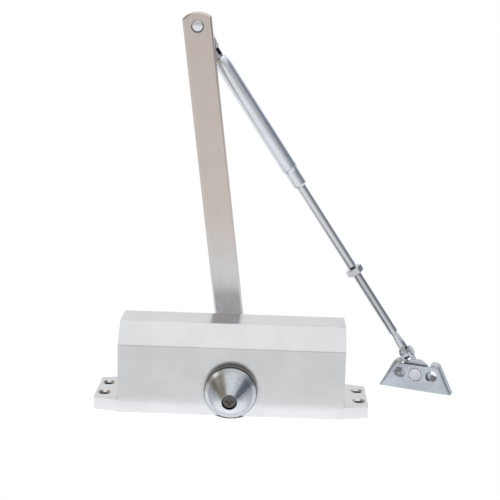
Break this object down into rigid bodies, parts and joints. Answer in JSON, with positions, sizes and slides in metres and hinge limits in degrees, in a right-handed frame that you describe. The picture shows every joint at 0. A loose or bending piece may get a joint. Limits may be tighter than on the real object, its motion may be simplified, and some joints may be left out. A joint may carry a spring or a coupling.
{
  "type": "overhead door closer",
  "caption": "Surface-mounted rack-and-pinion door closer with a folding lever arm, a forearm of adjustable length and a pivoting shoe.",
  "frame": {"origin": "centre of the pattern of four mounting holes, on the mounting plane of the body", "axes": "+X along the body towards the spring end, +Y along the spindle towards the arm, +Z away from the mounting plane"},
  "size_m": [0.2342, 0.1006, 0.2467],
  "materials": {
    "casting": "die-cast aluminium in satin silver paint",
    "arm_plate": "steel bar in satin silver paint with a warm cast",
    "sleeve_silver": "steel tube in smooth light silver paint",
    "bright_zinc": "bright zinc plating",
    "zinc_sheet": "satin zinc-plated sheet",
    "cap_metal": "turned steel, fine circular grain, satin",
    "machined_steel": "oiled machined steel",
    "spring_steel": "dark oil-tempered spring steel",
    "screw_dark": "dark screw steel",
    "bush_bronze": "bearing bronze",
    "seal_rubber": "matt black rubber"
  },
  "bodies": {
    "body": {"housing": "casting", "valve_end_plug": "bright_zinc", "spring_end_plug": "bright_zinc", "plug_seals": "seal_rubber", "spindle_bushes": "bush_bronze", "spindle_seals": "seal_rubber", "gland_nuts": "bright_zinc", "closing_spring": "spring_steel"},
    "sweep_valve": {"sweep_valve_screw": "screw_dark", "sweep_valve_seal": "seal_rubber"},
    "latch_valve": {"latch_valve_screw": "screw_dark", "latch_valve_seal": "seal_rubber"},
    "piston": {"rack_piston": "machined_steel", "piston_seal": "seal_rubber", "check_ball": "machined_steel", "ball_retainer": "machined_steel"},
    "spindle": {"pinion_shaft": "machined_steel", "cone_cap": "cap_metal", "cap_screw": "screw_dark", "main_arm": "arm_plate", "arm_washer": "bright_zinc", "arm_screw": "screw_dark", "elbow_rivet": "bright_zinc", "elbow_spacer": "bright_zinc"},
    "forearm": {"elbow_eye": "bright_zinc", "forearm_sleeve": "sleeve_silver", "forearm_ferrule": "sleeve_silver", "upper_rod": "bright_zinc"},
    "nut": {"lock_nut": "bright_zinc"},
    "rod": {"lower_rod": "bright_zinc"},
    "fork": {"shoe_fork": "zinc_sheet", "fork_pin": "bright_zinc"},
    "shoe": {"shoe_plate": "zinc_sheet", "swivel_rivet": "bright_zinc"}
  },
  "joints": [
    {"name": "spindle_turn", "type": "hinge", "parent": "body", "child": "spindle", "pos_m": [0, 0, 0.0173], "axis": [0, 1, 0], "range_deg": [0, 170], "stiffness_Nm_per_rad": 3.7, "springref_deg": -139.37},
    {"name": "piston_slide", "type": "slide", "parent": "body", "child": "piston", "axis": [1, 0, 0], "range_m": [0, 0.02245], "deforming": ["closing_spring"]},
    {"name": "elbow_pivot", "type": "hinge", "parent": "spindle", "child": "forearm", "pos_m": [-0.02867, 0.046, 0.23744], "axis": [0, -1, 0], "range_deg": [-21, 133]},
    {"name": "length_adjust", "type": "slide", "parent": "forearm", "child": "nut", "axis": [0.5618, 0, -0.8273], "range_m": [0, 0.02]},
    {"name": "rod_turn", "type": "hinge", "parent": "nut", "child": "rod", "pos_m": [0.1165, 0.046, 0.02367], "axis": [0.5618, 0, -0.8273], "range_deg": [-90, 90]},
    {"name": "shoe_pin", "type": "hinge", "parent": "rod", "child": "fork", "pos_m": [0.1165, 0.046, 0.02367], "axis": [0.7885, -0.3027, 0.5354], "range_deg": [-15, 95]},
    {"name": "shoe_swivel", "type": "hinge", "parent": "fork", "child": "shoe", "pos_m": [0.12199, 0.03789, 0.011], "axis": [-0.3584, -0.9336, 0], "range_deg": [0, 60]},
    {"name": "sweep_valve_turn", "type": "hinge", "parent": "body", "child": "sweep_valve", "pos_m": [-0.06, -0.019, 0.0135], "axis": [1, 0, 0], "range_deg": [-360, 360]},
    {"name": "latch_valve_turn", "type": "hinge", "parent": "body", "child": "latch_valve", "pos_m": [-0.06, 0.019, 0.0135], "axis": [1, 0, 0], "range_deg": [-360, 360]}
  ],
  "couplings": [
    {"joint": "piston_slide", "follows": "spindle_turn", "m_per_rad": 0.0075}
  ]
}
